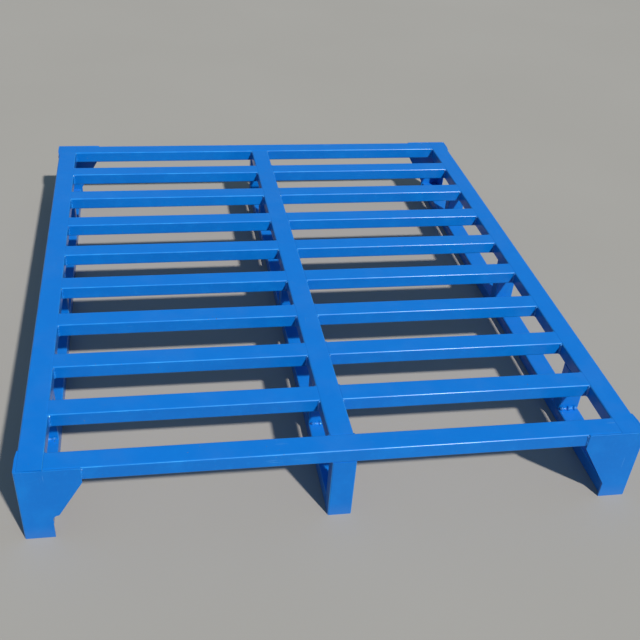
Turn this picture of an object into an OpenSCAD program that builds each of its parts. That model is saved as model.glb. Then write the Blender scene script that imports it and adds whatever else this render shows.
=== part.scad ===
// Welded steel pallet: a flush deck of rectangular tubes on three skids.
// +X runs across the pallet, +Y along it and +Z up. The origin is on the
// floor, under the centre of the deck.

/* [Overall size] */
// Width over the corner plates
pallet_w = 1000; // [800:10:1200]
// Length over the corner plates
pallet_l = 1200; // [1000:10:1400]
// Height from the floor to the deck
pallet_h = 140; // [120:5:180]

/* [Tube] */
// Wide side of every tube
tube_w = 40; // [30:1:50]
// Narrow side of every tube
tube_h = 25; // [20:1:30]
// Thickness of the tube wall
tube_wall = 2; // [1.5:0.5:3]
// Outside radius of the tube's long edges
tube_edge_r = 3; // [3:0.5:6]

/* [Deck] */
// Inner bars in each bay, between the two end bars
bars_per_bay = 8; // [5:1:9]

/* [Posts] */
// Distance from the pallet's middle to the outer posts
post_spacing = 380; // [300:10:420]

/* [Corner plates] */
// Thickness of the folded plate
plate_t = 3; // [3:1:6]
// Width of the wide flange at the deck
flange_top_w = 98; // [90:1:130]
// Width of the wide flange at the floor
flange_foot_w = 47; // [40:1:60]
// Height of the straight part at the deck
flange_head_h = 28; // [25:1:35]
// Height of the straight part at the floor
flange_foot_h = 30; // [25:1:40]
// Width of the narrow flange along the runner
side_flange_w = 50; // [40:5:70]
// Length of the ground taper at the narrow flange's free edge
taper_l = 18; // [5:1:30]
// Thickness left at the end of the taper
taper_tip_t = 1; // [1:0.5:2.5]
// Outside radius of the fold
fold_r = 3; // [1:0.5:3]
// Radius of the relief hole at the foot of the front left plate
relief_r = 10; // [6:1:14]
// Height of the relief hole's centre above the straight part of the foot
relief_rise = 6.5; // [5:0.5:9]

/* [Weld beads] */
// Radius of a bead on the deck and the corner plates
bead_r = 3; // [2:0.5:3]
// Radius of a bead across a post
post_bead_r = 5; // [2:0.5:6]
// Part of a tube's edge radius that a seam fills, short of its thin tips
seam_fill = 0.85; // [0.7:0.05:0.9]

/* [Hidden] */
SIDES = ["left", "middle", "right"];
BAYS = ["left", "right"];
ENDS = ["front", "rear"];
POSTS = ["front", "centre", "rear"];

// The tube frame lies inside the corner plates
frame_half_w = pallet_w / 2 - plate_t;
frame_half_l = pallet_l / 2 - plate_t;
side_x = frame_half_w - tube_w / 2;
end_y = frame_half_l - tube_w / 2;
deck_under_z = pallet_h - tube_h;
bar_pitch = 2 * end_y / (bars_per_bay + 1);
bay_w = side_x - tube_w;
bay_x = side_x / 2;
post_h = deck_under_z - tube_h;
// Flat part of a tube's narrow and wide sides, between its rounded edges
flat_h = tube_h - 2 * tube_edge_r;
flat_w = tube_w - 2 * tube_edge_r;
arc_fn = 32;

paint = [0.06, 0.44, 0.80];
weld_paint = [0.16, 0.52, 0.86];

// Rectangle with true round corners, centred on the origin
module rounded_rect(w, h, r) {
    square([w - 2 * r, h], center = true);
    square([w, h - 2 * r], center = true);
    for (sx = [-1, 1], sy = [-1, 1])
        translate([sx * (w / 2 - r), sy * (h / 2 - r)])
            circle(r = r, $fn = arc_fn);
}

// Hollow section with its wide side along X and its narrow side along Y
module tube_section() {
    difference() {
        rounded_rect(tube_w, tube_h, tube_edge_r);
        rounded_rect(tube_w - 2 * tube_wall, tube_h - 2 * tube_wall, tube_edge_r - tube_wall);
    }
}

// Tube along Y, wide side level, centred on its length
module tube_y(length) {
    rotate([90, 0, 0])
        linear_extrude(height = length, center = true)
            tube_section();
}

// Tube along X, wide side level, centred on its length
module tube_x(length) {
    rotate([0, 0, 90]) tube_y(length);
}

// Upright tube standing on its end, wide side facing the ends of the pallet
module tube_z(length) {
    linear_extrude(height = length) tube_section();
}

// Quarter-round bead along Z, filling the corner between +X and +Y
module bead(length, r = bead_r) {
    linear_extrude(height = length, center = true)
        intersection() {
            circle(r = r, $fn = arc_fn);
            square(r);
        }
}

// Seam along Z, filling the groove between a square face on the YZ plane and
// the rounded edge of a tube that butts against it from +X
module seam(length) {
    linear_extrude(height = length, center = true)
        difference() {
            square(seam_fill * tube_edge_r);
            translate([tube_edge_r, tube_edge_r])
                circle(r = tube_edge_r, $fn = arc_fn);
        }
}

// Seam along Y in the deck's surface, with its rounded edge on side -1 or 1
module seam_y(length, side) {
    scale([side, 1, -1]) rotate([90, 0, 0]) seam(length);
}

// Seam along X in the deck's surface, with its rounded edge on side -1 or 1
module seam_x(length, side) {
    scale([1, side, -1]) rotate([90, 0, 90]) seam(length);
}

// Deck runner on side -1, 0 or 1. The middle one fits between the end bars.
module runner(side) {
    length = 2 * frame_half_l - (side == 0 ? 2 * tube_w : 0);
    color(paint)
        translate([side * side_x, 0, pallet_h - tube_h / 2])
            tube_y(length);
}

// Full-width bar at the front (-1) or rear (1) edge of the deck
module end_bar(end) {
    color(paint)
        translate([0, end * end_y, pallet_h - tube_h / 2])
            tube_x(2 * side_x - tube_w);
}

// Short bar in the left (-1) or right (1) bay, numbered from the front
module deck_bar(bay, number) {
    color(paint)
        translate([bay * bay_x, number * bar_pitch - end_y, pallet_h - tube_h / 2])
            tube_x(bay_w);
}

// Skid on the floor. The middle one fits between the middle legs.
module skid(side) {
    length = 2 * frame_half_l - (side == 0 ? 2 * tube_h : 0);
    color(paint)
        translate([side * side_x, 0, tube_h / 2])
            tube_y(length);
}

// Upright between a skid and its runner, at place -1, 0 or 1 along it
module post(side, place) {
    color(paint)
        translate([side * side_x, place * post_spacing, tube_h])
            tube_z(post_h);
}

// Upright under the middle of an end bar, flush with the bar's outer face
module middle_leg(end) {
    color(paint)
        translate([0, end * (frame_half_l - tube_h / 2), 0])
            tube_z(deck_under_z);
}

// Plan of the folded plate, with the outside of the fold at the origin. The
// narrow flange's free edge is ground to a taper against the runner.
module plate_plan() {
    difference() {
        polygon([
            [0, 0],
            [-flange_top_w, 0],
            [-flange_top_w, plate_t],
            [-plate_t, plate_t],
            [-plate_t, side_flange_w],
            [-plate_t + taper_tip_t, side_flange_w],
            [0, side_flange_w - taper_l]
        ]);
        difference() {
            translate([-fold_r, 0]) square(fold_r);
            translate([-fold_r, fold_r]) circle(r = fold_r, $fn = arc_fn);
        }
    }
}

// Outline of the wide flange: straight head, slanted edge, narrow foot.
// A relieved one has a round relief where the slanted edge meets the foot.
module flange_outline(relieved) {
    difference() {
        polygon([
            [0, 0],
            [0, pallet_h],
            [-flange_top_w, pallet_h],
            [-flange_top_w, pallet_h - flange_head_h],
            [-flange_foot_w, flange_foot_h],
            [-flange_foot_w, 0]
        ]);
        if (relieved)
            translate([-flange_foot_w - relief_r, flange_foot_h + relief_rise])
                circle(r = relief_r, $fn = arc_fn);
    }
}

// Folded plate on one corner, at end -1 or 1 and side -1 or 1
module corner_plate(end, side) {
    color(paint)
        scale([side, -end, 1])
            translate([pallet_w / 2, -pallet_l / 2, 0])
                intersection() {
                    linear_extrude(height = pallet_h) plate_plan();
                    translate([0, side_flange_w, 0])
                        rotate([90, 0, 0])
                            linear_extrude(height = side_flange_w)
                                flange_outline(end == -1 && side == -1);
                }
}

// Upright beads where the bars of one bay meet their two runners
module deck_welds(bay) {
    color(weld_paint)
        for (i = [0:bars_per_bay + 1], end = [-1, 1], face = [-1, 1])
            if (i - face >= 0 && i - face <= bars_per_bay + 1)
                translate([
                    bay * bay_x + end * bay_w / 2,
                    i * bar_pitch - end_y - face * tube_w / 2,
                    pallet_h - tube_h / 2
                ])
                    scale([-end, -face, 1]) bead(flat_h);
}

// Level beads at the top and foot of every post on one side
module post_welds(side) {
    color(weld_paint)
        for (place = [-1:1], face = [-1, 1], top = [0, 1])
            translate([
                side * side_x,
                place * post_spacing + face * tube_h / 2,
                tube_h + top * post_h
            ])
                scale([1, face, 1 - 2 * top])
                    rotate([90, 0, 90]) bead(flat_w, post_bead_r);
}

// Upright beads along the corner plates' edges
module corner_welds() {
    color(weld_paint)
        for (end = [-1, 1], side = [-1, 1]) scale([side, -end, 1]) {
            // Wide flange to the face of the end bar
            translate([pallet_w / 2 - flange_top_w, -frame_half_l, pallet_h - tube_h / 2])
                scale([-1, -1, 1]) bead(flat_h);
            // Narrow flange to the runner and to the skid
            for (z = [tube_h / 2, pallet_h - tube_h / 2])
                translate([frame_half_w, side_flange_w - pallet_l / 2, z]) bead(flat_h);
        }
}

// Seams ground flush with the deck, where a square tube end meets a rounded edge
module deck_seams() {
    color(weld_paint) {
        // Bars to the runners beside them. The end bars pass over the middle one's ends.
        for (bay = [-1, 1], i = [0:bars_per_bay + 1], end = [-1, 1])
            if (end == bay || (i > 0 && i <= bars_per_bay))
                translate([bay * bay_x + end * bay_w / 2, i * bar_pitch - end_y, pallet_h])
                    seam_y(flat_w, end);
        // Middle runner to the end bars
        for (end = [-1, 1])
            translate([0, end * (frame_half_l - tube_w), pallet_h]) seam_x(flat_w, end);
    }
}

// Seams between the corner plates' top edges and the rounded edges of the tubes
module corner_seams() {
    end_bar_seam = flange_top_w - plate_t - tube_w;
    runner_seam = side_flange_w - plate_t;
    color(weld_paint)
        for (end = [-1, 1], side = [-1, 1]) {
            translate([side * (frame_half_w - tube_w - end_bar_seam / 2), end * frame_half_l, pallet_h])
                seam_x(end_bar_seam, -end);
            translate([side * frame_half_w, end * (frame_half_l - runner_seam / 2), pallet_h])
                seam_y(runner_seam, -side);
        }
}

for (s = [0:2])
    runner(s - 1);
for (e = [0:1])
    end_bar(2 * e - 1);
for (b = [0:1], i = [1:bars_per_bay])
    deck_bar(2 * b - 1, i);
for (s = [0:2])
    skid(s - 1);
for (s = [0:2], p = [0:2])
    post(s - 1, p - 1);
for (e = [0:1], b = [0:1])
    corner_plate(2 * e - 1, 2 * b - 1);
for (e = [0:1])
    middle_leg(2 * e - 1);
for (b = [0:1])
    deck_welds(2 * b - 1);
for (s = [0:2])
    post_welds(s - 1);
corner_welds();
deck_seams();
corner_seams();
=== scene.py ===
import math
import random

import bmesh
import bpy
from mathutils import Euler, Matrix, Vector, noise


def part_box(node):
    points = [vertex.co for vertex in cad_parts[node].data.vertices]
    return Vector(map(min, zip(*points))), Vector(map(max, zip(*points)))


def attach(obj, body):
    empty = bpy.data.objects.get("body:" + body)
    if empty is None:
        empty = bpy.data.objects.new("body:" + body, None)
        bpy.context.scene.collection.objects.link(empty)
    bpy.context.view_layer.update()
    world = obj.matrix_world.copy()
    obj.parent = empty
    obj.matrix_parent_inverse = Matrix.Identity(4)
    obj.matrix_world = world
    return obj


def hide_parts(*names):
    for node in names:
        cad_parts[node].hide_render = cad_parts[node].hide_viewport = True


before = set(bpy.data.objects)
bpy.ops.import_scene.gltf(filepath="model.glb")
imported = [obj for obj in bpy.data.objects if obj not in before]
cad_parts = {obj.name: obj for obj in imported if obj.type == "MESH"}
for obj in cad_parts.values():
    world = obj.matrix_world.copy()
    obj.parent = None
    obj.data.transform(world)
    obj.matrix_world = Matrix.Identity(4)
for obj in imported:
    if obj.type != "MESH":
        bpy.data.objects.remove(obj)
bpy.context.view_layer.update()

# The welded steel pallet in semi-gloss blue enamel. The tubes are the CAD nodes
# themselves. The folded plates, the weld beads and the ground seams are finer
# meshes that stand for their CAD nodes. All lengths are in metres.

MM = 0.001
SIDES = ("left", "middle", "right")
BAYS = ("left", "right")
ENDS = ("front", "rear")
POSTS = ("front", "centre", "rear")
BARS_PER_BAY = 8
X = Vector((1, 0, 0))
Y = Vector((0, 1, 0))
Z = Vector((0, 0, 1))

# Steel tube and plate
TUBE_EDGE_R = 3 * MM
PLATE_BEVEL = 0.45 * MM
BEVEL_SEGMENTS = 3
BEVEL_PROFILE = 0.5
# Points nearer than this are one point
SAME_PLACE = 0.01 * MM
# Turn between two faces: below the first they are one flat face, above the second
# they meet at a cut edge, and below the third the bevelled faces shade as one
FLAT_ANGLE = math.radians(1)
CUT_ANGLE = math.radians(25)
SMOOTH_ANGLE = math.radians(32)

# Weld beads
BEAD_LEG = 3.3 * MM
POST_BEAD_LEG = 5.2 * MM
CORNER_BEAD_LEG = 2.5 * MM
BEAD_SEGMENTS = 8
BEAD_DRIFT = 0.16
BEAD_DRIFT_LENGTH = 6 * MM
BEAD_TIP = 0.06
RING_STEP = 0.45 * MM
BEAD_FEWEST_STEPS = 4
# How far a deck bead runs below and above mid height, in parts of half its length
BEAD_FOOT_RUN = 1.25
BEAD_HEAD_RUN = 1.1
RIPPLE_PITCH = 2.6 * MM
RIPPLE_HEIGHT = 0.07
RIPPLE_LAG = 0.6
BEAD_ROUNDNESS = 0.7
BEAD_SINK = 0.25 * MM

# Seams ground flush with the deck
SEAM_STEP = 1.5 * MM
SEAM_FEWEST_STEPS = 3
SEAM_DIP = 0.4 * MM
SEAM_DRIFT = 0.35
SEAM_DRIFT_LENGTH = 14 * MM
SEAM_INSET = TUBE_EDGE_R / 2
# Outline of a seam across the groove, in parts of the tube's edge radius, and
# how much of the seam's dip each point takes
SEAM_OUTLINE = (
    (-0.15, 0.03, 0.0), (0.05, 0.0, 0.6), (0.30, 0.0, 1.0), (0.50, 0.0, 1.0),
    (0.75, 0.0, 0.6), (1.10, 0.05, 0.0), (0.80, 0.50, 0.0), (0.10, 0.85, 0.0),
)

# The corner whose joints stand partly open, the dip of its deck seam and the
# chamfer on its plate
OPEN_CORNER = ("front", "left")
OPEN_SEAM_DIP = 1.7 * MM
OPEN_JOINT = 2.2 * MM

# Drops of weld metal, where a bead runs out and along the post welds
DROP_R = 3.2 * MM
POST_DROP_R = 4.2 * MM
CORNER_DROP_R = 2.7 * MM
DROP_FINENESS = 2
DROP_DRIFT = 0.18
DROP_SQUASH = (0.8, 1.1)
DROPS_PER_POST_WELD = 3
# Sizes of the drops, in parts of the radii above
DECK_DROP_SIZES = (0.7, 0.95)
POST_DROP_SIZES = (0.85, 1.1)
JOINT_DROP_SIZE = 0.9
# Places of the drops, in parts of their own radius: below the deck, and out from
# the corner on the deck, post and plate welds
DROP_DEPTH = 1.2
DECK_DROP_OUT = 0.15
POST_DROP_OUT = 0.75
CORNER_DROP_OUT = 0.4
# Where a drop may lie within its own share of a post weld
POST_DROP_PLACES = (0.25, 0.75)
# Place of the drops' paint among a weld piece's materials, after the beads' paint
DROP_SLOT = 1

# Spans over which the pieces start at different places in the noise
NOISE_SPAN = 100
DROP_NOISE_SPAN = 50

# Camera, as the photograph was taken
CAMERA_AT = (-0.274, -1.596, 1.048)
CAMERA_TURN = (51.69, -2.97, -8.75)
LENS_MM = 49.9
SHIFT = (0.031, 0.125)

# Light
KEY_DIRECTION = Vector((0.46, -1.0, 1.0))
KEY_COLOUR = (1.0, 0.96, 0.90)
KEY_STRENGTH = 3.75
KEY_SOFTNESS = 2.4
SKY_COLOUR = (0.113, 0.180, 0.250)
HORIZON_COLOUR = (0.345, 0.345, 0.340)
HORIZON_RISE = 0.30
FLOOR_REACH = 40

# Colour sockets of a Mix node
MIX_A = 6
MIX_B = 7
MIX_RESULT = 2

# Colours of the paint and what shows through or lies on it, with a painted highlight for the edges
# and painted light for the tops
ENAMEL = (0.001, 0.165, 0.600)
ENAMEL_DEEP = (0.001, 0.145, 0.545)
ENAMEL_THIN = (0.006, 0.245, 0.740)
# Painted highlight: a bright cyan blue laid along the rounded edges of tubes and plates
PAINTED_EDGE_HIGHLIGHT = (0.080, 0.520, 0.950)
SCUFF = (0.150, 0.420, 0.780)
# Painted light: a lighter blue laid on what faces up, so the tops read brighter than the sides
PAINTED_TOP_LIGHT = (0.006, 0.230, 0.820)
DUST = (0.330, 0.380, 0.430)
PRIMER = (0.210, 0.230, 0.250)
RUST = (0.150, 0.060, 0.025)
FLOOR_DARK = (0.395, 0.375, 0.345)
FLOOR_LIGHT = (0.430, 0.410, 0.380)

# Grain of the rolled steel: lines per metre across it and along it
FINE = 260
LONG = 6
STREAK_FINENESS = 2.6

# Noises: patches per metre, detail and roughness
TONE_NOISE = (4.5, 3, 0.55)
CLOUD_NOISE = (24, 4, 0.6)
MOTTLE_NOISE = (110, 4, 0.65)
LINE_NOISE = (1.0, 3, 0.6)
DUST_NOISE = (11, 6, 0.65)
STREAK_NOISE = (1.0, 2, 0.5)
HANDLING_NOISE = (14, 2)
CHIP_NOISE = (240, 3, 0.6)
CHIP_AREA_NOISE = (9, 2)
GLOSS_NOISE = (35, 4, 0.6)
WAVE_NOISE = (28, 2)
PEEL_NOISE = (620, 2)
PIT_NOISE = (900, 3, 0.6)
POOL_NOISE = (180, 3, 0.55)
FLOOR_NOISE = (1.2, 3)

# Layers: where a layer starts and ends in the noise, the flatness of the surface,
# its upward turn or its height, and the amounts at those two ends if not 0 and 1
TONE_LAYER = (0.30, 0.70)
CLOUD_LAYER = (0.45, 0.75, 0.0, 0.22)
MOTTLE_LAYER = (0.50, 0.75, 0.0, 0.20)
LINE_LAYER = (0.45, 0.75, 0.0, 0.16)
EDGE_LAYER = (0.86, 0.72)
# Where the painted edge highlight shows along the edges, and how strongly
EDGE_HIGHLIGHT_LAYER = (0.35, 0.65, 0.20, 0.60)
SKYWARD_LAYER = (0.75, 0.98)
# How much painted top light the upward faces get, varied with the slow tone
TOP_LIGHT_LAYER = (0.30, 0.70, 0.62, 0.45)
DUST_LAYER = (0.42, 0.72)
SPLASH_LAYER = (0.030, 0.002)
HANDLING_RANGE = (0.40, 0.80)
SCUFF_LAYER = (0.74, 0.82)
CHIP_AREA_LAYER = (0.35, 0.75, -0.04, 0.04)
CHIP_LAYER = (0.735, 0.760)
RUST_LAYER = (0.76, 0.80)
GLOSS_LAYER = (0.3, 0.7, 0.30, 0.44)
POOL_LAYER = (0.35, 0.70)
PIT_LAYER = (0.66, 0.78, 0.0, 0.5)
WELD_GLOSS_LAYER = (0.3, 0.7, 0.20, 0.34)

# How strongly dust, splashes, handling, scuffs and wear show
DUST_AMOUNT = 0.03
SPLASH_AMOUNT = 0.06
HANDLING_AMOUNT = 0.10
SCUFF_AMOUNT = 0.4
EDGE_CHIPS = 0.05
DULLING = 0.16

# Depths of the relief
WAVE_DEPTH = 0.25 * MM
LINE_DEPTH = 0.03 * MM
PEEL_DEPTH = 0.035 * MM
CHIP_DEPTH = 0.08 * MM
POOL_DEPTH = 0.15 * MM
PIT_DEPTH = 0.04 * MM

# Shine
ENAMEL_SPECULAR = 0.15
ENAMEL_COAT = 0.30
ENAMEL_COAT_ROUGHNESS = 0.17
WELD_SPECULAR = 0.3
WELD_COAT_ROUGHNESS = 0.05
FLOOR_SPECULAR = 0.2
FLOOR_ROUGHNESS = 0.85


# ---------------------------------------------------------------- materials

class Graph:
    """A new node material, with short calls for the nodes that the paints share."""

    def __init__(self, name):
        self.material = bpy.data.materials.new(name)
        self.material.use_nodes = True
        self.nodes = self.material.node_tree.nodes
        self.links = self.material.node_tree.links
        self.shader = self.nodes["Principled BSDF"]
        self.place = self.nodes.new("ShaderNodeTexCoord").outputs["Object"]

    def link(self, value, socket):
        """Sets a socket from another node's output or from a plain value."""
        if isinstance(value, bpy.types.NodeSocket):
            self.links.new(value, socket)
        else:
            socket.default_value = value

    def stretched(self, scale):
        """The object's own coordinates, scaled along each axis."""
        mapping = self.nodes.new("ShaderNodeMapping")
        self.links.new(self.place, mapping.inputs["Vector"])
        mapping.inputs["Scale"].default_value = scale
        return mapping.outputs["Vector"]

    def noise(self, scale, detail=3.0, roughness=0.5, place=None):
        """Noise from 0 to 1, about 1 / scale metres from one patch to the next."""
        texture = self.nodes.new("ShaderNodeTexNoise")
        self.links.new(place or self.place, texture.inputs["Vector"])
        texture.inputs["Scale"].default_value = scale
        texture.inputs["Detail"].default_value = detail
        texture.inputs["Roughness"].default_value = roughness
        return texture.outputs["Fac"]

    def math(self, operation, a, b=0.0):
        """One step of arithmetic on one or two values."""
        step = self.nodes.new("ShaderNodeMath")
        step.operation = operation
        self.link(a, step.inputs[0])
        self.link(b, step.inputs[1])
        return step.outputs[0]

    def spread(self, value, low, high, to_low=0.0, to_high=1.0):
        """Maps low..high smoothly onto to_low..to_high, clamped."""
        step = self.nodes.new("ShaderNodeMapRange")
        step.interpolation_type = "SMOOTHSTEP"
        self.link(value, step.inputs["Value"])
        step.inputs["From Min"].default_value = low
        step.inputs["From Max"].default_value = high
        step.inputs["To Min"].default_value = to_low
        step.inputs["To Max"].default_value = to_high
        return step.outputs["Result"]

    def blend(self, amount, a, b):
        """Mixes two colours."""
        mix = self.nodes.new("ShaderNodeMix")
        mix.data_type = "RGBA"
        self.link(amount, mix.inputs["Factor"])
        for value, socket in ((a, mix.inputs[MIX_A]), (b, mix.inputs[MIX_B])):
            self.link(value if isinstance(value, bpy.types.NodeSocket) else (*value, 1), socket)
        return mix.outputs[MIX_RESULT]

    def bump(self, height, depth, below=None):
        """Adds relief of that depth in metres over the relief below it."""
        step = self.nodes.new("ShaderNodeBump")
        step.inputs["Distance"].default_value = depth
        self.link(height, step.inputs["Height"])
        if below is not None:
            self.links.new(below, step.inputs["Normal"])
        return step.outputs["Normal"]

    def normal_parts(self):
        """The size of the surface normal along X, Y and Z, and its upward part."""
        geometry = self.nodes.new("ShaderNodeNewGeometry")
        split = self.nodes.new("ShaderNodeSeparateXYZ")
        self.links.new(geometry.outputs["Normal"], split.inputs[0])
        sizes = [self.math("ABSOLUTE", part) for part in split.outputs]
        return sizes, split.outputs["Z"]

    def height(self):
        """Height above the floor."""
        split = self.nodes.new("ShaderNodeSeparateXYZ")
        self.links.new(self.place, split.inputs[0])
        return split.outputs["Z"]


def enamel(name, grain, wear=1.0, relief=1.0):
    """Semi-gloss blue enamel, with a painted highlight on its rounded edges and painted light on
    what faces up. grain stretches the rolled steel's fine lines along the piece.
    """
    g = Graph(name)
    tone = g.noise(*TONE_NOISE)
    clouds = g.noise(*CLOUD_NOISE)
    mottle = g.noise(*MOTTLE_NOISE)
    lines = g.noise(*LINE_NOISE, g.stretched(grain))
    (nx, ny, nz), up = g.normal_parts()
    flatness = g.math("MAXIMUM", g.math("MAXIMUM", nx, ny), nz)
    edge = g.spread(flatness, *EDGE_LAYER)

    # Colour: slow drift, clouds, fine mottle and lines, and a painted highlight along the rounded
    # edges
    colour = g.blend(g.spread(tone, *TONE_LAYER), ENAMEL_DEEP, ENAMEL)
    colour = g.blend(g.spread(clouds, *CLOUD_LAYER), colour, ENAMEL_THIN)
    colour = g.blend(g.spread(mottle, *MOTTLE_LAYER), colour, ENAMEL_THIN)
    colour = g.blend(g.spread(lines, *LINE_LAYER), colour, ENAMEL_DEEP)
    # Painted highlight: the bright edge colour on the rounded edges, varied with the clouds
    edge_highlight_mask = g.math("MULTIPLY", edge, g.spread(clouds, *EDGE_HIGHLIGHT_LAYER))
    colour = g.blend(edge_highlight_mask, colour, PAINTED_EDGE_HIGHLIGHT)

    # What faces up is painted a lighter blue as painted light and holds dust, and splashes reach the
    # feet
    skyward = g.spread(up, *SKYWARD_LAYER)
    patches = g.spread(g.noise(*DUST_NOISE), *DUST_LAYER)
    # Painted light on the upward faces
    colour = g.blend(g.math("MULTIPLY", skyward, g.spread(tone, *TOP_LIGHT_LAYER)), colour, PAINTED_TOP_LIGHT)
    film = g.math("MULTIPLY", skyward, patches)
    splash = g.spread(g.height(), *SPLASH_LAYER)
    dust = g.math("MULTIPLY", film, DUST_AMOUNT)
    dirt = g.math("MAXIMUM", dust, g.math("MULTIPLY", splash, SPLASH_AMOUNT))
    colour = g.blend(dirt, colour, DUST)

    # Handling: pale scuffs that run with the piece
    streaks = g.noise(*STREAK_NOISE, g.stretched([part * STREAK_FINENESS for part in grain]))
    handling = g.spread(
        g.noise(*HANDLING_NOISE), *HANDLING_RANGE, -HANDLING_AMOUNT, HANDLING_AMOUNT * wear
    )
    scuff = g.spread(g.math("ADD", streaks, handling), *SCUFF_LAYER)
    colour = g.blend(g.math("MULTIPLY", scuff, SCUFF_AMOUNT), colour, SCUFF)

    # Wear: rare chips to the primer, mostly on edges, with a rusty heart
    chance = g.math("ADD", g.noise(*CHIP_NOISE), g.math("MULTIPLY", edge, EDGE_CHIPS * wear))
    worn = g.math("ADD", chance, g.spread(g.noise(*CHIP_AREA_NOISE), *CHIP_AREA_LAYER))
    chip = g.spread(worn, *CHIP_LAYER)
    colour = g.blend(chip, colour, g.blend(g.spread(worn, *RUST_LAYER), PRIMER, RUST))
    g.link(colour, g.shader.inputs["Base Color"])

    gloss = g.spread(g.noise(*GLOSS_NOISE), *GLOSS_LAYER)
    dulled = g.math("MAXIMUM", g.math("MAXIMUM", film, chip), scuff)
    roughness = g.math("ADD", gloss, g.math("MULTIPLY", dulled, DULLING))
    g.link(roughness, g.shader.inputs["Roughness"])

    # Relief: slow waviness, fine lines and orange peel, with the chips cut in
    normal = g.bump(g.noise(*WAVE_NOISE), WAVE_DEPTH * relief)
    normal = g.bump(lines, LINE_DEPTH * relief, normal)
    normal = g.bump(g.noise(*PEEL_NOISE), PEEL_DEPTH * relief, normal)
    normal = g.bump(g.math("SUBTRACT", 1.0, chip), CHIP_DEPTH, normal)
    g.link(normal, g.shader.inputs["Normal"])
    g.shader.inputs["Specular IOR Level"].default_value = ENAMEL_SPECULAR
    g.shader.inputs["Coat Weight"].default_value = ENAMEL_COAT
    g.shader.inputs["Coat Roughness"].default_value = ENAMEL_COAT_ROUGHNESS
    return g.material


def weld_enamel(name, coat, coat_ior):
    """Enamel over weld metal: thick and glossy in the ripples, pitted and spattered."""
    g = Graph(name)
    pits = g.noise(*PIT_NOISE)
    pools = g.noise(*POOL_NOISE)
    colour = g.blend(g.spread(pools, *POOL_LAYER), ENAMEL_DEEP, ENAMEL_THIN)
    colour = g.blend(g.spread(pits, *PIT_LAYER), colour, ENAMEL_DEEP)
    g.link(colour, g.shader.inputs["Base Color"])
    g.link(g.spread(pools, *WELD_GLOSS_LAYER), g.shader.inputs["Roughness"])
    normal = g.bump(pools, POOL_DEPTH)
    normal = g.bump(pits, PIT_DEPTH, normal)
    g.link(normal, g.shader.inputs["Normal"])
    g.shader.inputs["Specular IOR Level"].default_value = WELD_SPECULAR
    g.shader.inputs["Coat Weight"].default_value = coat
    g.shader.inputs["Coat Roughness"].default_value = WELD_COAT_ROUGHNESS
    g.shader.inputs["Coat IOR"].default_value = coat_ior
    return g.material


def floor_paint():
    """Plain pale floor."""
    g = Graph("pale_floor")
    g.link(g.blend(g.noise(*FLOOR_NOISE), FLOOR_DARK, FLOOR_LIGHT), g.shader.inputs["Base Color"])
    g.shader.inputs["Roughness"].default_value = FLOOR_ROUGHNESS
    g.shader.inputs["Specular IOR Level"].default_value = FLOOR_SPECULAR
    return g.material


# ---------------------------------------------------------------- mesh helpers

def finish_piece(bm, name, materials, slot, *nodes):
    """Makes a piece of a bmesh that rides on the pallet and stands for CAD nodes."""
    bmesh.ops.recalc_face_normals(bm, faces=bm.faces)
    mesh = bpy.data.meshes.new(name)
    bm.to_mesh(mesh)
    bm.free()
    for material in materials:
        mesh.materials.append(material)
    piece = bpy.data.objects.new(name, mesh)
    bpy.context.scene.collection.objects.link(piece)
    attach(piece, "root")
    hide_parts(*nodes)
    return piece


def skin(bm, rings):
    """Joins rings of equal length into a closed tube with a face on each end."""
    count = len(rings[0])
    for ring, following in zip(rings, rings[1:]):
        for i in range(count):
            j = (i + 1) % count
            bm.faces.new((ring[i], ring[j], following[j], following[i])).smooth = True
    bm.faces.new(list(reversed(rings[0])))
    bm.faces.new(rings[-1])


def taper(place, length, cap):
    """Rounds a bead off over the cap's length at both of its ends."""
    near_end = min(place, length - place)
    if near_end >= cap:
        return 1.0
    return max(BEAD_TIP, math.sqrt(max(0.0, 1 - (1 - near_end / cap) ** 2)))


def add_bead(bm, start, end, face_a, face_b, leg, rng):
    """Adds a rippled fillet bead along the corner from start to end. The two faces
    of the corner run away from it along face_a and face_b."""
    length = (end - start).length
    along = (end - start) / length
    count = max(BEAD_FEWEST_STEPS, round(length / RING_STEP))
    shift = rng.uniform(0, NOISE_SPAN)
    sink = (face_a + face_b) * BEAD_SINK
    rings = []
    for k in range(count + 1):
        place = length * k / count
        drift = noise.noise(Vector((shift, place / BEAD_DRIFT_LENGTH, 0)))
        size = leg * (1 + BEAD_DRIFT * drift) * taper(place, length, leg)
        base = start + along * place - sink
        ring = [bm.verts.new(base)]
        for j in range(BEAD_SEGMENTS + 1):
            turn = math.pi / 2 * j / BEAD_SEGMENTS
            hump = math.sin(2 * turn)
            chord = 1 / (math.cos(turn) + math.sin(turn))
            phase = (place - RIPPLE_LAG * leg * hump + shift) / RIPPLE_PITCH
            ripple = RIPPLE_HEIGHT * hump * (abs(math.sin(math.pi * phase)) - 0.5)
            reach = size * (chord + (1 - chord) * BEAD_ROUNDNESS + ripple)
            outward = face_a * math.cos(turn) + face_b * math.sin(turn)
            ring.append(bm.verts.new(base + outward * reach))
        rings.append(ring)
    skin(bm, rings)


def add_drop(bm, centre, radius, rng):
    """Adds a small uneven drop of weld metal."""
    made = bmesh.ops.create_icosphere(bm, subdivisions=DROP_FINENESS, radius=radius)
    shift = Vector((rng.uniform(0, DROP_NOISE_SPAN), 0, 0))
    squash = [rng.uniform(*DROP_SQUASH) for _ in range(3)]
    for vert in made["verts"]:
        swell = 1 + DROP_DRIFT * noise.noise(vert.co / radius + shift)
        vert.co = centre + Vector(a * b for a, b in zip(vert.co, squash)) * swell
        for face in vert.link_faces:
            face.smooth = True
            face.material_index = DROP_SLOT


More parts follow.
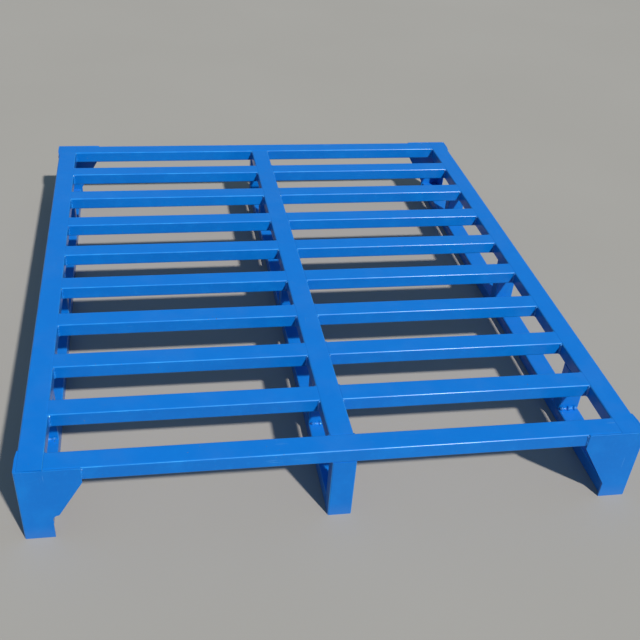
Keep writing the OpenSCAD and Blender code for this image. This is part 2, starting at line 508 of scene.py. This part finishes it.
def add_seam(bm, start, end, edge_way, rng, depth=SEAM_DIP):
    """Adds a seam ground almost flush with the deck, depth below it. It fills the groove
    between a square face on the line from start to end and a rounded edge, edge_way
    from it."""
    length = (end - start).length
    along = (end - start) / length
    count = max(SEAM_FEWEST_STEPS, round(length / SEAM_STEP))
    shift = rng.uniform(0, NOISE_SPAN)
    rings = []
    for k in range(count + 1):
        place = length * k / count
        base = start + along * place
        drift = noise.noise(Vector((shift, place / SEAM_DRIFT_LENGTH, 0)))
        dip = depth * (1 + SEAM_DRIFT * drift)
        rings.append([
            bm.verts.new(base + edge_way * TUBE_EDGE_R * out - Z * (TUBE_EDGE_R * down + dip * part))
            for out, down, part in SEAM_OUTLINE
        ])
    skin(bm, rings)


# ---------------------------------------------------------------- sub-parts

def open_joint(bm, face_y, inner_x, deck_z):
    """Chamfers the plate's top edge at face_y, from inner_x outward, where the runner's
    end meets it."""
    everything = bm.verts[:] + bm.edges[:] + bm.faces[:]
    bmesh.ops.bisect_plane(bm, geom=everything, plane_co=X * inner_x, plane_no=X)

    def on_joint(vert):
        on_edge = abs(vert.co.z - deck_z) < SAME_PLACE and abs(vert.co.y - face_y) < SAME_PLACE
        return on_edge and abs(vert.co.x) > abs(inner_x) - SAME_PLACE

    joint = [edge for edge in bm.edges if all(on_joint(vert) for vert in edge.verts)]
    bmesh.ops.bevel(bm, geom=joint, offset=OPEN_JOINT, segments=1, affect="EDGES")


def soft_plate(node, material):
    """The folded plate with its cut edges broken and painted over."""
    bm = bmesh.new()
    bm.from_mesh(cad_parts[node].data)
    bmesh.ops.remove_doubles(bm, verts=bm.verts, dist=SAME_PLACE)
    bmesh.ops.dissolve_limit(
        bm, angle_limit=FLAT_ANGLE, verts=bm.verts, edges=bm.edges, delimit=set()
    )
    if node.endswith("_".join(OPEN_CORNER)):
        low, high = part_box("runner_left")
        open_joint(bm, low.y, high.x, high.z)
    cut = [e for e in bm.edges if len(e.link_faces) == 2 and e.calc_face_angle() > CUT_ANGLE]
    bmesh.ops.bevel(
        bm, geom=cut, offset=PLATE_BEVEL, segments=BEVEL_SEGMENTS, profile=BEVEL_PROFILE,
        affect="EDGES", clamp_overlap=False,
    )
    for face in bm.faces:
        face.smooth = True
    for edge in bm.edges:
        edge.smooth = len(edge.link_faces) == 2 and edge.calc_face_angle() < SMOOTH_ANGLE
    piece = finish_piece(bm, "soft_" + node, [material], "plate_enamel", node)
    weighted = piece.modifiers.new("even_shading", "WEIGHTED_NORMAL")
    weighted.keep_sharp = True


def bar_nodes(bay):
    """Names of the bay's short bars."""
    return [f"deck_bar_{bay}_{i}" for i in range(1, BARS_PER_BAY + 1)]


def bar_corners(bay):
    """Each upright corner where a bar of the bay meets a runner: the corner at mid
    height, the ways along the bar and along the runner, and the deck's height."""
    first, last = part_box(f"deck_bar_{bay}_1")
    middle = (first.x + last.x) / 2
    for node in bar_nodes(bay) + ["end_bar_" + end for end in ENDS]:
        low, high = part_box(node)
        for y, way in ((low.y, -1), (high.y, 1)):
            on_outer_face = node.startswith("end_bar") and abs(y) > abs((low.y + high.y) / 2)
            if on_outer_face:
                continue
            for x in (first.x, last.x):
                toward_bar = X if x < middle else -X
                yield Vector((x, y, (low.z + high.z) / 2)), toward_bar, Y * way, high.z


def deck_welds(bay, materials):
    """Upright beads in the corners between bars and runners, each with a drop at the deck."""
    rng = random.Random("deck" + bay)
    low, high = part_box("deck_welds_" + bay)
    half = Z * (high.z - low.z) / 2
    bm = bmesh.new()
    for corner, bar_way, runner_way, deck_z in bar_corners(bay):
        foot = corner - half * BEAD_FOOT_RUN
        head = corner + half * BEAD_HEAD_RUN
        add_bead(bm, foot, head, bar_way, runner_way, BEAD_LEG, rng)
        radius = DROP_R * rng.uniform(*DECK_DROP_SIZES)
        drop = Vector((corner.x, corner.y, deck_z - radius * DROP_DEPTH))
        add_drop(bm, drop + (bar_way + runner_way) * radius * DECK_DROP_OUT, radius, rng)
    finish_piece(bm, "rippled_deck_welds_" + bay, materials, "weld_enamel", "deck_welds_" + bay)


def post_welds(side, materials):
    """Level beads across the front and rear of every post, at its top and foot."""
    rng = random.Random("post" + side)
    inset = X * TUBE_EDGE_R
    bm = bmesh.new()
    for place in POSTS:
        low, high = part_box(f"post_{side}_{place}")
        for y, way in ((low.y, -1), (high.y, 1)):
            for z, up in ((low.z, 1), (high.z, -1)):
                start = Vector((low.x, y, z)) + inset
                end = Vector((high.x, y, z)) - inset
                add_bead(bm, start, end, Z * up, Y * way, POST_BEAD_LEG, rng)
                for k in range(DROPS_PER_POST_WELD):
                    along = (k + rng.uniform(*POST_DROP_PLACES)) / DROPS_PER_POST_WELD
                    radius = POST_DROP_R * rng.uniform(*POST_DROP_SIZES)
                    drop = start.lerp(end, along) + (Z * up + Y * way) * radius * POST_DROP_OUT
                    add_drop(bm, drop, radius, rng)
    finish_piece(bm, "rippled_post_welds_" + side, materials, "weld_enamel", "post_welds_" + side)


def corner_welds(materials):
    """Upright beads along the corner plates' edges, with drops at the deck."""
    rng = random.Random("corner")
    runner_low, runner_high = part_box("runner_left")
    skid_low, skid_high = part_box("skid_left")
    bm = bmesh.new()
    for end, end_way in zip(ENDS, (-1, 1)):
        for side, side_way in zip(BAYS, (-1, 1)):
            low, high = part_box(f"corner_plate_{end}_{side}")
            inner_x = high.x if side_way < 0 else low.x
            inner_y = high.y if end_way < 0 else low.y
            bar_y = end_way * abs(runner_low.y)
            tube_x = side_way * abs(runner_low.x)
            bar_end_x = side_way * abs(runner_high.x)
            add_bead(
                bm,
                Vector((inner_x, bar_y, runner_low.z + TUBE_EDGE_R)),
                Vector((inner_x, bar_y, runner_high.z - TUBE_EDGE_R)),
                -X * side_way, Y * end_way, CORNER_BEAD_LEG, rng,
            )
            drop_z = runner_high.z - CORNER_DROP_R * DROP_DEPTH
            drop = Vector((inner_x, bar_y, drop_z)) - X * side_way * CORNER_DROP_R * CORNER_DROP_OUT
            add_drop(bm, drop, CORNER_DROP_R, rng)
            add_drop(bm, Vector((bar_end_x, bar_y, drop_z)), CORNER_DROP_R * JOINT_DROP_SIZE, rng)
            for foot, head in ((runner_low.z, runner_high.z), (skid_low.z, skid_high.z)):
                add_bead(
                    bm,
                    Vector((tube_x, inner_y, foot + TUBE_EDGE_R)),
                    Vector((tube_x, inner_y, head - TUBE_EDGE_R)),
                    -Y * end_way, X * side_way, CORNER_BEAD_LEG, rng,
                )
    finish_piece(bm, "rippled_corner_welds", materials, "weld_enamel", "corner_welds")


def add_bar_seam(bm, bar, x, way, rng, depth=SEAM_DIP):
    """Adds the seam at a bar's end at x, where the runner lies in the given way."""
    low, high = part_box(bar)
    inset = Y * SEAM_INSET
    start = Vector((x, low.y, high.z)) + inset
    end = Vector((x, high.y, high.z)) - inset
    add_seam(bm, start, end, X * way, rng, depth)


def deck_seams(material):
    """Seams across the deck where square tube ends meet rounded edges."""
    rng = random.Random("seams")
    bm = bmesh.new()
    for bay, bay_way in zip(BAYS, (-1, 1)):
        for node in bar_nodes(bay):
            low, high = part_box(node)
            for x, way in ((low.x, -1), (high.x, 1)):
                add_bar_seam(bm, node, x, way, rng)
        for end in ENDS:
            node = "end_bar_" + end
            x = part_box(node)[1].x * bay_way
            depth = OPEN_SEAM_DIP if (end, bay) == OPEN_CORNER else SEAM_DIP
            add_bar_seam(bm, node, x, bay_way, rng, depth)
    low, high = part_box("runner_middle")
    inset = X * SEAM_INSET
    for y, way in ((low.y, -1), (high.y, 1)):
        start = Vector((low.x, y, high.z)) + inset
        end = Vector((high.x, y, high.z)) - inset
        add_seam(bm, start, end, Y * way, rng)
    finish_piece(bm, "ground_deck_seams", [material], "weld_enamel", "deck_seams")


def corner_seams(material):
    """Seams along the corner plates' top edges."""
    rng = random.Random("plate seams")
    runner_low, runner_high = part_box("runner_left")
    bm = bmesh.new()
    for end, end_way in zip(ENDS, (-1, 1)):
        for side, side_way in zip(BAYS, (-1, 1)):
            low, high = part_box(f"corner_plate_{end}_{side}")
            bar_end_x = side_way * abs(runner_high.x)
            inner_x = high.x if side_way < 0 else low.x
            inner_y = high.y if end_way < 0 else low.y
            face_y = end_way * abs(runner_low.y)
            face_x = side_way * abs(runner_low.x)
            add_seam(
                bm, Vector((bar_end_x, face_y, high.z)), Vector((inner_x, face_y, high.z)),
                -Y * end_way, rng,
            )
            add_seam(
                bm, Vector((face_x, face_y, high.z)), Vector((face_x, inner_y, high.z)),
                -X * side_way, rng,
            )
    finish_piece(bm, "ground_corner_seams", [material], "weld_enamel", "corner_seams")


# ---------------------------------------------------------------- stage

def make_floor():
    """A plain level floor, wide enough for every view."""
    mesh = bpy.data.meshes.new("floor")
    r = FLOOR_REACH
    mesh.from_pydata([(-r, -r, 0), (r, -r, 0), (r, r, 0), (-r, r, 0)], [], [(0, 1, 2, 3)])
    mesh.materials.append(floor_paint())
    floor = bpy.data.objects.new("floor", mesh)
    bpy.context.scene.collection.objects.link(floor)


def make_light():
    """A soft key light, and a world that fades from a pale horizon to a blue sky."""
    key = bpy.data.lights.new("key", "SUN")
    key.color = KEY_COLOUR
    key.energy = KEY_STRENGTH
    key.angle = math.radians(KEY_SOFTNESS)
    lamp = bpy.data.objects.new("key", key)
    lamp.rotation_euler = KEY_DIRECTION.to_track_quat("Z", "Y").to_euler()
    bpy.context.scene.collection.objects.link(lamp)
    world = bpy.data.worlds.new("studio")
    world.use_nodes = True
    nodes = world.node_tree.nodes
    links = world.node_tree.links
    split = nodes.new("ShaderNodeSeparateXYZ")
    links.new(nodes.new("ShaderNodeTexCoord").outputs["Generated"], split.inputs[0])
    rise = nodes.new("ShaderNodeMapRange")
    rise.inputs["From Max"].default_value = HORIZON_RISE
    links.new(split.outputs["Z"], rise.inputs["Value"])
    sky = nodes.new("ShaderNodeMix")
    sky.data_type = "RGBA"
    sky.inputs[MIX_A].default_value = (*HORIZON_COLOUR, 1)
    sky.inputs[MIX_B].default_value = (*SKY_COLOUR, 1)
    links.new(rise.outputs["Result"], sky.inputs["Factor"])
    links.new(sky.outputs[MIX_RESULT], nodes["Background"].inputs["Color"])
    bpy.context.scene.world = world


def make_camera():
    """The camera at the photograph's place, angle and lens."""
    data = bpy.data.cameras.new("camera")
    data.lens = LENS_MM
    data.shift_x, data.shift_y = SHIFT
    camera = bpy.data.objects.new("camera", data)
    camera.location = CAMERA_AT
    camera.rotation_euler = Euler([math.radians(turn) for turn in CAMERA_TURN])
    bpy.context.scene.collection.objects.link(camera)
    bpy.context.scene.camera = camera


# ---------------------------------------------------------------- assembly

# Paints, with the grain along each kind of piece
lengthwise = enamel("tube_enamel_lengthwise", (FINE, LONG, FINE))
crosswise = enamel("tube_enamel_crosswise", (LONG, FINE, FINE))
end_bar = enamel("tube_enamel_end_bars", (LONG, FINE, FINE), wear=1.8)
upright = enamel("tube_enamel_upright", (FINE, FINE, LONG))
plate = enamel("plate_enamel_fine", (FINE, FINE, LONG), wear=0.9, relief=1.3)
bead_paint = weld_enamel("weld_enamel_beads", coat=0.35, coat_ior=1.5)
drop_paint = weld_enamel("weld_enamel_drops", coat=1.0, coat_ior=2.2)
welds = [bead_paint, drop_paint]

for name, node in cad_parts.items():
    if name.startswith(("runner", "skid")):
        node.material_slots[0].material = lengthwise
    elif name.startswith("deck_bar"):
        node.material_slots[0].material = crosswise
    elif name.startswith("end_bar"):
        node.material_slots[0].material = end_bar
    elif name.startswith(("post_left", "post_middle", "post_right", "middle_leg")):
        node.material_slots[0].material = upright

for end in ENDS:
    for side in BAYS:
        soft_plate(f"corner_plate_{end}_{side}", plate)
for bay in BAYS:
    deck_welds(bay, welds)
for side in SIDES:
    post_welds(side, welds)
corner_welds(welds)
deck_seams(crosswise)
corner_seams(crosswise)

make_floor()
make_light()
make_camera()
bpy.context.scene.view_settings.view_transform = "Standard"
